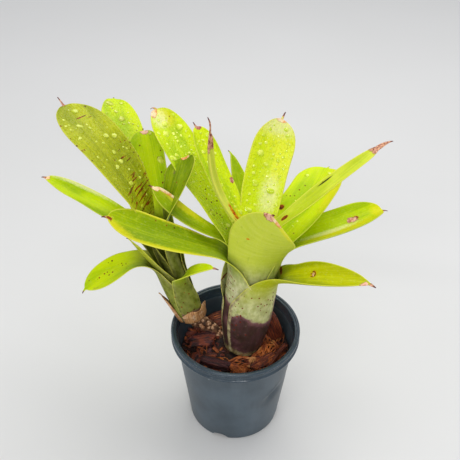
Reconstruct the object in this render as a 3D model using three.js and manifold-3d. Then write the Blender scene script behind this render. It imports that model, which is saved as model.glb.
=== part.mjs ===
// A potted tank bromeliad: a main rosette of strap leaves and one leaning offset
// on a short runner, in a round nursery pot of bark chips.
// Millimetres, +Z up, origin at the centre of the pot's underside.
import * as THREE from "three";
import Module from "manifold-3d";
import { mergeVertices } from "three/addons/utils/BufferGeometryUtils.js";

const wasm = await Module();
wasm.setup();

const { degToRad, smoothstep, clamp, lerp } = THREE.MathUtils;

// ---- driving dimensions ------------------------------------------------------
const GAP = 0.3; // clearance between neighbouring pieces

const POT_HEIGHT = 112;
const RIM_RADIUS = 60;
const WALL_TOP_RADIUS = 55; // outside, just under the rim band
const POT_BASE_RADIUS = 44;
const POT_CORNER_RADIUS = 3;
const RIM_BAND = 10.5; // height of the rolled rim
const WALL = 1.6;
const FLOOR = 2.2;
const DRAIN_COUNT = 4;
const DRAIN_FIRST_ANGLE = -108; // degrees, seen from above
const DRAIN_RADIUS = 8;
const DRAIN_FLATTEN = 0.75; // the arches are lower than half circles
const POT_SIDES = 48;

const MIX_TOP = 87; // level of the potting mix
const MIX_SIDES = 36;
const MIX_RINGS = 8;

const SHEATH_STEP = 1.4; // radius lost from one leaf sheath to the next one inside it
const SHEATH_FOOT = 0.72; // a sheath's foot radius over its full radius
const SHEATH_SWELL = 45; // height over which a sheath swells to its full radius
const FLARE = 34; // length over which a sheath turns into a blade
const SHEATH_WRAP = 95; // half angle that a sheath wraps, degrees
const SHEATH_THICKNESS = 0.8;
const BLADE_THICKNESS = 1.3;

// A rosette stands on a foot point and leans towards +X and +Y by its tilt, in
// degrees. outer is the radius of its outermost sheath.
const MAIN = { name: "main", foot: [5.5, 3, 84], tilt: [5.5, 4], outer: 24 };
const OFFSET = { name: "offset", foot: [-41, 16, 110], tilt: [-17, 6], outer: 19.8 };
const WIDE_SHEATH = 15; // sheaths over this radius have more facets across

// Leaves from the outermost inwards. Angles in degrees: az is the side a leaf
// grows towards, lean its angle from the rosette's axis at the throat, arch what
// the blade adds to that, side its sideways sweep and cup the half angle of its
// channel. taper 0 is a blunt strap and 1 a lance. The columns are: az, sheath,
// lean, arch, length, width, side, twist, cup and taper.
const BLADE = { wrap: SHEATH_WRAP, throat: 0.72, spine: 5, hook: 40 };
const leaf = (az, sheath, lean, arch, length, width, side, twist, cup, taper, special = {}) => ({
  az, sheath, lean, arch, length, width, side, twist, cup, taper, ...special,
});
const MAIN_LEAVES = [
  leaf(-40, 85, 55, 25, 95, 38, 20, 15, 55, 0.9),
  leaf(100, 88, 40, 10, 98, 22, 20, 12, 25, 0.7),
  leaf(190, 100, 75, -10, 115, 32, -5, -30, 25, 0.1),
  leaf(20, 104, 79, -14, 106, 40, -4, 0, 50, 0.1),
  leaf(-90, 106, 20, 5, 76, 60, 15, -50, 35, 1),
  leaf(172, 108, 76, -25, 90, 16, -14, -40, 30, 0.1),
  leaf(142, 106, 55, 0, 148, 38, -10, -5, 25, 0, { throat: 0.9 }),
  leaf(40, 108, 60, 10, 102, 46, 24, -10, 15, 0),
  leaf(90, 114, 38, -18, 108, 38, -30, 30, 20, 0),
  leaf(140, 116, 46, -4, 108, 26, -8, 0, 24, 0),
  leaf(22, 122, 52, 8, 128, 18, 10, 10, 48, 0.6, { throat: 0.45, spine: 14 }),
  leaf(175, 118, 46, -52, 110, 14, -8, 0, 60, 0.1, { spine: 12 }),
];
const OFFSET_LEAVES = [
  leaf(-50, 6, 20, 0, 6, 30, 0, 0, 60, 0.5, { name: "offset_husk", spine: 1, wrap: 75 }),
  leaf(200, 8, 8, 6, 30, 10, 0, 0, 50, 1, { name: "offset_bract", spine: 1, wrap: 35 }),
  leaf(-70, 42, 40, 45, 72, 17, 50, 10, 36, 0.4, { wrap: 45 }),
  leaf(186, 66, 90, 18, 68, 32, 10, -32, 25, 0.6, { throat: 0.45 }),
  leaf(212, 60, 22, -10, 44, 23, -3, 0, 27, 0.8),
  leaf(150, 84, 54, 8, 120, 22, 2, -14, 33, 0.5),
  leaf(104, 84, 40, 18, 150, 37, -3, 26, 20, 0),
  leaf(86, 90, 32, 22, 97, 33, 6, 6, 23, 0),
  leaf(5, 96, 30, 35, 70, 40, 60, -15, 25, 0),
  leaf(176, 88, -10, 76, 150, 50, -45, 10, 18, 0.15, { throat: 0.5 }),
];

// ---- materials ---------------------------------------------------------------
const paint = (color, roughness, metalness = 0) =>
  new THREE.MeshStandardMaterial({ color, roughness, metalness });
const LEAF_GREEN = "#a8bf1e";
const OFFSET_GREEN = "#93a832";
const POT_SLATE = "#2f3b45";
const MIX_BROWN = "#3a2318";
const BARK_BROWN = "#7a4526";
const RUNNER_BROWN = "#9a7350";
const HUSK_TAN = "#b08a5e";
const leafMaterial = (rosette, leaf) =>
  leaf.name ? paint(HUSK_TAN, 0.85) : paint(rosette === MAIN ? LEAF_GREEN : OFFSET_GREEN, 0.4);

// ---- solids ------------------------------------------------------------------
function toSolid(geometry) {
  const bare = geometry.clone();
  bare.deleteAttribute("normal");
  bare.deleteAttribute("uv");
  const merged = mergeVertices(bare, 1e-4);
  return new wasm.Manifold(
    new wasm.Mesh({
      numProp: 3,
      vertProperties: new Float32Array(merged.attributes.position.array),
      triVerts: new Uint32Array(merged.index.array),
    }),
  );
}

function toGeometry(solid) {
  const mesh = solid.getMesh();
  const geometry = new THREE.BufferGeometry();
  geometry.setAttribute("position", new THREE.BufferAttribute(new Float32Array(mesh.vertProperties), 3));
  geometry.setIndex(new THREE.BufferAttribute(new Uint32Array(mesh.triVerts), 1));
  return geometry;
}

// the largest separate piece of a solid that a cut may have divided
function largestPiece(solid) {
  const pieces = solid.decompose();
  return pieces.reduce((best, piece) => (piece.volume() > best.volume() ? piece : best));
}

// Closed body between two grids of points, rows by columns, inner over outer.
function shellGeometry(inner, outer) {
  const rows = inner.length;
  const columns = inner[0].length;
  const points = [...inner.flat(), ...outer.flat()];
  const over = (i, j) => i * columns + j;
  const under = (i, j) => rows * columns + i * columns + j;
  const faces = [];
  const quad = (a, b, c, d) => faces.push(a, b, c, a, c, d);
  for (let i = 0; i < rows - 1; i++) {
    for (let j = 0; j < columns - 1; j++) {
      quad(over(i, j), over(i, j + 1), over(i + 1, j + 1), over(i + 1, j));
      quad(under(i, j), under(i + 1, j), under(i + 1, j + 1), under(i, j + 1));
    }
    quad(over(i, 0), over(i + 1, 0), under(i + 1, 0), under(i, 0));
    quad(over(i, columns - 1), under(i, columns - 1), under(i + 1, columns - 1), over(i + 1, columns - 1));
  }
  for (let j = 0; j < columns - 1; j++) {
    quad(over(0, j), under(0, j), under(0, j + 1), over(0, j + 1));
    quad(over(rows - 1, j), over(rows - 1, j + 1), under(rows - 1, j + 1), under(rows - 1, j));
  }
  const geometry = new THREE.BufferGeometry().setFromPoints(points);
  geometry.setIndex(faces);
  return geometry;
}

// ---- leaves ------------------------------------------------------------------
// Axes of a leaning rosette: up its middle, and two across it.
function rosetteAxes(rosette) {
  const [tiltX, tiltY] = rosette.tilt.map((angle) => Math.tan(degToRad(angle)));
  const up = new THREE.Vector3(tiltX, tiltY, 1).normalize();
  const right = new THREE.Vector3(1, 0, 0).addScaledVector(up, -up.x).normalize();
  return { up, right, back: new THREE.Vector3().crossVectors(up, right) };
}

// Outline of a blade: half width over its greatest, u from the throat to the tip.
function bladeProfile(leaf, u) {
  const body = leaf.throat + (1 - leaf.throat) * Math.sin((Math.min(u / 0.5, 1) * Math.PI) / 2);
  const strap = Math.sqrt(Math.max(0, 1 - (clamp(u - 0.74, 0, 1) / 0.26) ** 2.2));
  const lance = Math.max(0, 1 - clamp((u - 0.35) / 0.65, 0, 1) ** 1.9);
  return body * lerp(strap, lance, leaf.taper);
}

// Lean of the midrib from the rosette's axis at a distance s up the leaf, radians.
function leanAt(leaf, radius, s) {
  const swelling = s < SHEATH_SWELL ? Math.cos((s / SHEATH_SWELL) * (Math.PI / 2)) : 0;
  const sheathSlope = ((radius * (1 - SHEATH_FOOT) * Math.PI) / 2 / SHEATH_SWELL) * swelling;
  const bend = smoothstep(s - leaf.sheath + FLARE * 0.35, 0, FLARE);
  const u = (s - leaf.sheath) / leaf.length;
  const tip = clamp((u - 0.93) / (0.07 + leaf.spine / leaf.length), 0, 1);
  return (
    Math.atan(sheathSlope) * (1 - bend) +
    degToRad(leaf.lean) * bend +
    degToRad(leaf.arch) * clamp(u, 0, 1.2) ** 1.4 +
    degToRad(leaf.hook) * tip ** 1.5
  );
}

// Grids of the upper and lower faces of one leaf. grow thickens it all round.
function leafGeometry(rosette, leaf, layer, grow = 0) {
  const { up, right, back } = rosetteAxes(rosette);
  const radius = rosette.outer - SHEATH_STEP * layer;
  const across = radius > WIDE_SHEATH ? 9 : 7;
  const end = leaf.sheath + leaf.length + leaf.spine;
  const opening = leaf.sheath - FLARE * 0.8;
  const blade = [0.04, 0.18, 0.34, 0.5, 0.66, 0.8, 0.9, 0.97];
  const stops = [
    ...[0, 0.33, 0.67, 1].map((part) => part * SHEATH_SWELL).filter((s) => s < opening - 4 || s === 0),
    ...[opening, leaf.sheath - 8].filter((s) => s > 1),
    ...blade.map((part) => leaf.sheath + part * leaf.length),
    end,
  ];
  const heading = (angle) =>
    right.clone().multiplyScalar(Math.cos(angle)).addScaledVector(back, Math.sin(angle));
  const point = new THREE.Vector3(...rosette.foot)
    .addScaledVector(heading(degToRad(leaf.az)), radius * SHEATH_FOOT);
  const step = 0.5;
  const inner = [];
  const outer = [];
  for (let s = 0; stops.length; s += step) {
    const u = clamp((s - leaf.sheath) / leaf.length, 0, 1);
    const lean = leanAt(leaf, radius, s);
    const away = heading(degToRad(leaf.az + leaf.side * smoothstep(u, 0, 1)));
    const along = away.clone().multiplyScalar(Math.sin(lean)).addScaledVector(up, Math.cos(lean));
    if (s >= stops[0]) {
      stops.shift();
      const level = away.clone().multiplyScalar(-Math.cos(lean)).addScaledVector(up, Math.sin(lean));
      const turn = degToRad(leaf.twist) * smoothstep(u, 0, 1);
      const face = level.clone().applyAxisAngle(along, turn);
      const sideways = new THREE.Vector3().crossVectors(along, face);
      const swell = Math.sin((Math.min(s / SHEATH_SWELL, 1) * Math.PI) / 2);
      const girth = degToRad(leaf.wrap) * radius * lerp(SHEATH_FOOT, 1, swell);
      const opened = smoothstep(s - leaf.sheath, -26, 26);
      const flat = smoothstep(s - leaf.sheath, -34, 14);
      const tipHalf = s > leaf.sheath + leaf.length ? 0.4 : 1.2;
      const half = lerp(girth, Math.max((leaf.width / 2) * bladeProfile(leaf, u), tipHalf), opened);
      const curl = degToRad(lerp(leaf.wrap, leaf.cup, flat)) * clamp(half / 6, 0.05, 1);
      const thickness = lerp(SHEATH_THICKNESS, BLADE_THICKNESS, opened) / 2;
      const rows = [[], []];
      for (let j = 0; j < across; j++) {
        const t = (2 * j) / (across - 1) - 1;
        const angle = curl * t;
        const bow = half / curl;
        const place = point.clone()
          .addScaledVector(sideways, Math.sin(angle) * bow)
          .addScaledVector(face, (1 - Math.cos(angle)) * bow);
        const normal = face.clone().multiplyScalar(Math.cos(angle))
          .addScaledVector(sideways, -Math.sin(angle));
        const margin = thickness * (1 - 0.4 * t * t) + grow;
        const edge = grow * (j === 0 ? -1 : j === across - 1 ? 1 : 0);
        place.addScaledVector(sideways, edge * Math.cos(angle)).addScaledVector(face, edge * Math.sin(angle));
        rows[0].push(place.clone().addScaledVector(normal, margin));
        rows[1].push(place.clone().addScaledVector(normal, -margin));
      }
      inner.push(rows[0]);
      outer.push(rows[1]);
    }
    point.addScaledVector(along, step);
  }
  return shellGeometry(inner, outer);
}

// All the leaves of one rosette, each trimmed clear of those set before it.
function growRosette(rosette, leaves, placed) {
  let count = 0;
  return leaves.map((entry, layer) => {
    const leaf = { ...BLADE, ...entry };
    let solid = toSolid(leafGeometry(rosette, leaf, layer));
    for (const other of placed) {
      if (solid.intersect(other).volume() > 0) solid = largestPiece(solid.subtract(other));
    }
    placed.push(toSolid(leafGeometry(rosette, leaf, layer, GAP)));
    const name = leaf.name ?? `${rosette.name}_leaf_${String(++count).padStart(2, "0")}`;
    return { name, geometry: toGeometry(solid), material: leafMaterial(rosette, leaf) };
  });
}

// ---- pot ---------------------------------------------------------------------
function potGeometry() {
  const top = POT_HEIGHT;
  const under = POT_HEIGHT - RIM_BAND;
  const corner = POT_CORNER_RADIUS;
  const arc = (cx, cy, radius, from, to, count) =>
    Array.from({ length: count + 1 }, (_, i) => {
      const angle = degToRad(lerp(from, to, i / count));
      return new THREE.Vector2(cx + radius * Math.cos(angle), cy + radius * Math.sin(angle));
    });
  const profile = [
    new THREE.Vector2(0, 0),
    ...arc(POT_BASE_RADIUS - corner, corner, corner, -90, -6, 3),
    new THREE.Vector2(WALL_TOP_RADIUS, under),
    ...arc(RIM_RADIUS - 1.2, under + 1.2, 1.2, -60, 0, 1),
    ...arc(RIM_RADIUS - 1.5, top - 1.5, 1.5, 0, 180, 4),
    new THREE.Vector2(RIM_RADIUS - 3.6, top - 4),
    new THREE.Vector2(WALL_TOP_RADIUS - WALL, under - 1),
    ...arc(POT_BASE_RADIUS - corner, corner + 0.6, corner - WALL, -6, -90, 2),
    new THREE.Vector2(0, FLOOR),
  ];
  let solid = toSolid(new THREE.LatheGeometry(profile, POT_SIDES).rotateX(Math.PI / 2));
  for (let i = 0; i < DRAIN_COUNT; i++) {
    const arch = new THREE.CylinderGeometry(DRAIN_RADIUS, DRAIN_RADIUS, 14, 16);
    arch.scale(1, 1, DRAIN_FLATTEN);
    arch.translate(0, POT_BASE_RADIUS + 1, 0);
    arch.rotateZ(degToRad(DRAIN_FIRST_ANGLE - 90 + (360 / DRAIN_COUNT) * i));
    solid = solid.subtract(toSolid(arch));
  }
  return toGeometry(solid);
}

// Ring that stands for the rim and the wall under it, with the gap round them.
function rimClearance() {
  const inside = WALL_TOP_RADIUS - WALL - GAP;
  const profile = [
    new THREE.Vector2(inside - 1.2, POT_HEIGHT - 20),
    new THREE.Vector2(RIM_RADIUS + 1, POT_HEIGHT - 20),
    new THREE.Vector2(RIM_RADIUS + 1, POT_HEIGHT + GAP),
    new THREE.Vector2(RIM_RADIUS - 3 - GAP, POT_HEIGHT + GAP),
    new THREE.Vector2(RIM_RADIUS - 3.6 - GAP, POT_HEIGHT - 4),
    new THREE.Vector2(inside, POT_HEIGHT - RIM_BAND - 1),
    new THREE.Vector2(inside - 1.2, POT_HEIGHT - 20),
  ];
  return new THREE.LatheGeometry(profile, POT_SIDES).rotateX(Math.PI / 2);
}

const wallInside = (z) => lerp(POT_BASE_RADIUS, WALL_TOP_RADIUS, z / (POT_HEIGHT - RIM_BAND)) - WALL;

// ---- potting mix, bark and runner ----------------------------------------------
// Level of the mix: a lumpy bed, a little higher around the main rosette's foot.
function mixLevel(x, y) {
  const lumps = 1.6 * Math.sin(x * 0.21 + 1) * Math.cos(y * 0.18) + 1.1 * Math.sin(y * 0.37 + x * 0.11);
  const toStem = Math.hypot(x - MAIN.foot[0], y - MAIN.foot[1]);
  return lerp(MIX_TOP + 1, MIX_TOP + lumps - 3, smoothstep(toStem, 20, 30));
}

// The hollow in the mix that the main rosette's sheaths stand in.
function socketGeometry() {
  const { up } = rosetteAxes(MAIN);
  const footRadius = MAIN.outer * SHEATH_FOOT + SHEATH_THICKNESS + GAP;
  const profile = [
    new THREE.Vector2(0, -GAP),
    new THREE.Vector2(footRadius, -GAP),
    new THREE.Vector2(footRadius + 2.6, 9),
    new THREE.Vector2(0, 9),
  ];
  const socket = new THREE.LatheGeometry(profile, 20).rotateX(Math.PI / 2);
  socket.applyQuaternion(new THREE.Quaternion().setFromUnitVectors(new THREE.Vector3(0, 0, 1), up));
  return socket.translate(...MAIN.foot);
}

function mixGeometry(cutters) {
  const low = FLOOR + GAP;
  const ringRadius = (k) => (k / MIX_RINGS) * (wallInside(MIX_TOP - 4) - GAP - 0.4);
  const points = [new THREE.Vector3(0, 0, mixLevel(0, 0))];
  for (let k = 1; k <= MIX_RINGS; k++) {
    for (let i = 0; i < MIX_SIDES; i++) {
      const angle = (i / MIX_SIDES) * 2 * Math.PI;
      const x = ringRadius(k) * Math.cos(angle);
      const y = ringRadius(k) * Math.sin(angle);
      points.push(new THREE.Vector3(x, y, k === MIX_RINGS ? MIX_TOP - 4 : mixLevel(x, y)));
    }
  }
  const bottomRadius = POT_BASE_RADIUS - POT_CORNER_RADIUS - GAP;
  const chine = [POT_BASE_RADIUS - WALL - 1.2, POT_CORNER_RADIUS + 2];
  for (const [radius, z] of [chine, [bottomRadius, low]]) {
    for (let i = 0; i < MIX_SIDES; i++) {
      const angle = (i / MIX_SIDES) * 2 * Math.PI;
      points.push(new THREE.Vector3(radius * Math.cos(angle), radius * Math.sin(angle), z));
    }
  }
  points.push(new THREE.Vector3(0, 0, low));
  const last = points.length - 1;
  const at = (ring, i) => 1 + (ring - 1) * MIX_SIDES + (i % MIX_SIDES);
  const faces = [];
  for (let i = 0; i < MIX_SIDES; i++) {
    faces.push(0, at(1, i), at(1, i + 1));
    for (let ring = 1; ring < MIX_RINGS + 2; ring++) {
      faces.push(at(ring, i), at(ring + 1, i), at(ring + 1, i + 1));
      faces.push(at(ring, i), at(ring + 1, i + 1), at(ring, i + 1));
    }
    faces.push(at(MIX_RINGS + 2, i), last, at(MIX_RINGS + 2, i + 1));
  }
  const geometry = new THREE.BufferGeometry().setFromPoints(points);
  geometry.setIndex(faces);
  let solid = toSolid(geometry);
  for (const cutter of cutters) solid = solid.subtract(cutter);
  return toGeometry(largestPiece(solid));
}

// Bark chips: at is the middle, size is length, width and thickness, and turn is
// roll, pitch and yaw in degrees.
const CHIPS = [
  { at: [36, 8, 102], size: [44, 13, 4], turn: [78, 72, 8] }, // stands against the wall
  { at: [-32, 5, 87.5], size: [24, 20, 6], turn: [4, -4, 6] },
  { at: [-18, -23, 86.5], size: [28, 10, 6], turn: [-6, 3, -16] },
  { at: [3, -30, 86], size: [16, 9, 5], turn: [8, 5, -24] },
  { at: [26, -22, 87.5], size: [26, 9, 4], turn: [10, -6, 34] },
  { at: [39, -14, 88.5], size: [30, 6, 4], turn: [-12, -10, 52] },
  { at: [-36, -18, 86], size: [15, 11, 5], turn: [6, 8, 70] },
  { at: [-14, 34, 87], size: [26, 15, 6], turn: [8, -5, 22] },
  { at: [14, 38, 87], size: [22, 13, 5], turn: [-6, 9, -30] },
  { at: [31, 25, 87.5], size: [20, 12, 5], turn: [5, 6, 64] },
];

// A split slab of bark with bevelled, uneven edges. extra swells it all round.
function chipGeometry(chip, index, extra = 0) {
  const [length, width, thickness] = chip.size;
  const corners = 7;
  const outline = Array.from({ length: corners }, (_, i) => {
    const angle = (i / corners) * 2 * Math.PI + 0.3 * Math.sin(index * 2.1 + i * 1.7);
    const reach = 1 + 0.16 * Math.sin(index * 1.3 + i * 2.4);
    const x = clamp(Math.cos(angle) * 1.25 * reach, -1, 1) * (length / 2);
    const y = clamp(Math.sin(angle) * 1.25 * reach, -1, 1) * (width / 2);
    return new THREE.Vector2(x, y);
  });
  const grown = outline.map((p) => p.clone().multiplyScalar(1 + (2.6 * extra) / Math.min(width, length)));
  const half = thickness / 2 + extra;
  const ring = (scale, z) => grown.map((p) => new THREE.Vector3(p.x * scale, p.y * scale, z));
  const rings = [ring(0.82, -half), ring(1, -half * 0.35), ring(0.97, half * 0.5), ring(0.78, half)];
  const points = [new THREE.Vector3(0, 0, -half), ...rings.flat(), new THREE.Vector3(0, 0, half)];
  const at = (k, i) => 1 + k * corners + (i % corners);
  const faces = [];
  for (let i = 0; i < corners; i++) {
    faces.push(0, at(0, i + 1), at(0, i));
    for (let k = 0; k < rings.length - 1; k++) {
      faces.push(at(k, i), at(k, i + 1), at(k + 1, i + 1), at(k, i), at(k + 1, i + 1), at(k + 1, i));
    }
    faces.push(points.length - 1, at(rings.length - 1, i), at(rings.length - 1, i + 1));
  }
  const geometry = new THREE.BufferGeometry().setFromPoints(points);
  geometry.setIndex(faces);
  const [roll, pitch, yaw] = chip.turn.map(degToRad);
  geometry.applyMatrix4(new THREE.Matrix4().makeRotationFromEuler(new THREE.Euler(roll, pitch, yaw, "ZYX")));
  geometry.translate(...chip.at);
  return geometry;
}

// Short woody stem inside a rosette: a blunt cone up its axis.
function stemGeometry(rosette, radius, height, drop, extra = 0) {
  const { up } = rosetteAxes(rosette);
  const profile = [
    new THREE.Vector2(0, -drop - extra),
    new THREE.Vector2(radius * 0.8 + extra, -drop - extra),
    new THREE.Vector2(radius + extra, 2),
    new THREE.Vector2(radius * 0.6 + extra, height * 0.7),
    new THREE.Vector2(0, height + extra),
  ];
  const stem = new THREE.LatheGeometry(profile, 16);
  stem.rotateX(Math.PI / 2);
  stem.applyQuaternion(new THREE.Quaternion().setFromUnitVectors(new THREE.Vector3(0, 0, 1), up));
  stem.translate(...rosette.foot);
  return stem;
}

// Knobbly runner from under the main rosette up to the offset's foot.
const RUNNER_ROUTE = [[-14, 14, 79], [-21, 18, 87], [-30, 20, 95], [-39, 17.5, 102]];
const RUNNER_RADIUS = 6;

function runnerGeometry(extra = 0) {
  const curve = new THREE.CatmullRomCurve3(RUNNER_ROUTE.map((p) => new THREE.Vector3(...p)));
  const sides = 12;
  const section = new THREE.Shape();
  for (let i = 0; i < sides; i++) {
    const angle = (i / sides) * 2 * Math.PI;
    const radius = RUNNER_RADIUS + extra + (i % 2 ? 0.7 : -0.7);
    section[i ? "lineTo" : "moveTo"](radius * Math.cos(angle), radius * Math.sin(angle));
  }
  section.closePath();
  return new THREE.ExtrudeGeometry(section, { steps: 8, extrudePath: curve, bevelEnabled: false });
}

// ---- assembly ------------------------------------------------------------------
const plant = new THREE.Group();
const add = ({ name, geometry, material }) => {
  const mesh = new THREE.Mesh(geometry, material);
  mesh.name = name;
  plant.add(mesh);
};

const mainStem = (extra) => stemGeometry(MAIN, 5, 46, 14, extra);
const offsetStem = (extra) => stemGeometry(OFFSET, 4, 40, 1, extra);
const potSolid = potGeometry();
const stemParts = [
  ["main_stem", toSolid(mainStem(0)), RUNNER_BROWN],
  ["offset_stem", toSolid(offsetStem(0)), RUNNER_BROWN],
];
const placed = [toSolid(rimClearance()), toSolid(mainStem(GAP)), toSolid(offsetStem(GAP))];
const mainLeaves = growRosette(MAIN, MAIN_LEAVES, placed);
const offsetLeaves = growRosette(OFFSET, OFFSET_LEAVES, placed);

const trim = (solid, others) =>
  others.reduce((left, other) => largestPiece(left.subtract(other)), solid);
const runner = trim(toSolid(runnerGeometry()), placed);
const bedded = [toSolid(runnerGeometry(GAP)), ...placed];
const chips = CHIPS.map((chip, index) => {
  const solid = trim(toSolid(chipGeometry(chip, index)), bedded);
  bedded.push(toSolid(chipGeometry(chip, index, GAP)));
  return { name: `bark_chip_${String(index + 1).padStart(2, "0")}`, geometry: toGeometry(solid) };
});

add({ name: "pot", geometry: potSolid, material: paint(POT_SLATE, 0.45) });
const mixCutters = [toSolid(socketGeometry()), ...bedded];
add({ name: "potting_mix", geometry: mixGeometry(mixCutters), material: paint(MIX_BROWN, 0.95) });
for (const [name, solid, color] of stemParts) {
  add({ name, geometry: toGeometry(solid), material: paint(color, 0.8) });
}
add({ name: "runner", geometry: toGeometry(runner), material: paint(RUNNER_BROWN, 0.8) });
for (const chip of chips) add({ ...chip, material: paint(BARK_BROWN, 0.85) });
for (const leaf of [...mainLeaves, ...offsetLeaves]) add(leaf);

export default plant;
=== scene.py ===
"""Potted bromeliad: the looks of the plant, its nursery pot and its bark mix.

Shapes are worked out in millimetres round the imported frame, and make_object turns them
into metres. Lights are placed in metres.
"""

import math

import bmesh
import bpy
import numpy as np
from mathutils import Matrix, Vector


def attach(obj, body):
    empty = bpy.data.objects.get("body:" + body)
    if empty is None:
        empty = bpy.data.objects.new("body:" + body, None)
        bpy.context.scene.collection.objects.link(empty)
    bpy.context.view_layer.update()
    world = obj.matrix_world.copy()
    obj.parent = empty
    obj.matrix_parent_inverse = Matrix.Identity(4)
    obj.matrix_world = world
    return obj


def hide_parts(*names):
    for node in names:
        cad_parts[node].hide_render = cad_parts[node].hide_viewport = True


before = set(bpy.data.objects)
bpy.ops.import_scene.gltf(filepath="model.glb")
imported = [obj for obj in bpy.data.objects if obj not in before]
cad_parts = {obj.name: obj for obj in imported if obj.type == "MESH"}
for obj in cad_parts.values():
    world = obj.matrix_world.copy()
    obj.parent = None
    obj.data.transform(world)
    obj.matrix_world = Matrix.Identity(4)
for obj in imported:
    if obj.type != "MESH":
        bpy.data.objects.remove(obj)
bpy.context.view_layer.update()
MM = 0.001

# ---- sizes shared with the CAD, in millimetres and degrees ----
SHEATH_STEP = 1.4
SHEATH_FOOT = 0.72
SHEATH_SWELL = 45
SHEATH_THICKNESS = 0.8
BLADE_THICKNESS = 1.3
FLARE = 34
GROWTH_STEP = 0.5
MAIN = {"name": "main", "foot": (5.5, 3, 84), "tilt": (5.5, 4), "outer": 24.0}
OFFSET = {"name": "offset", "foot": (-41, 16, 110), "tilt": (-17, 6), "outer": 19.8}

POT_HEIGHT = 112
RIM_RADIUS = 60
WALL_TOP_RADIUS = 55
POT_BASE_RADIUS = 44
POT_CORNER_RADIUS = 3
RIM_BAND = 10.5
WALL = 1.6
FLOOR = 2.2
DRAIN_COUNT = 4
DRAIN_FIRST_ANGLE = -108
DRAIN_RADIUS = 8
DRAIN_FLATTEN = 0.75
MIX_TOP = 87

# ---- counts and limits that only the looks have ----
POT_SIDES = 180
BED_SIDES, BED_RINGS = 120, 40
LOOSE_CHIPS = 400
FIBRES, FRONT_FIBRES = 190, 150
ROOT_NUBS = 72
# Where the nubs grow: along the runner and a little way up the offset's foot.
NUB_ROUTE = [(-14, 14, 79), (-21, 18, 87), (-30, 20, 95), (-39, 17.5, 102), (-43, 15, 108)]
WET_LEAF_DROPS = 20  # a leaf with this many drops has a film of water too
DROP_RADII, DROP_SHARES = [0.7, 1.0, 1.4, 2.0, 3.0], [0.3, 0.25, 0.2, 0.15, 0.1]
DROP_TRIES = 600
FLOOR_REACH = 6000

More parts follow.
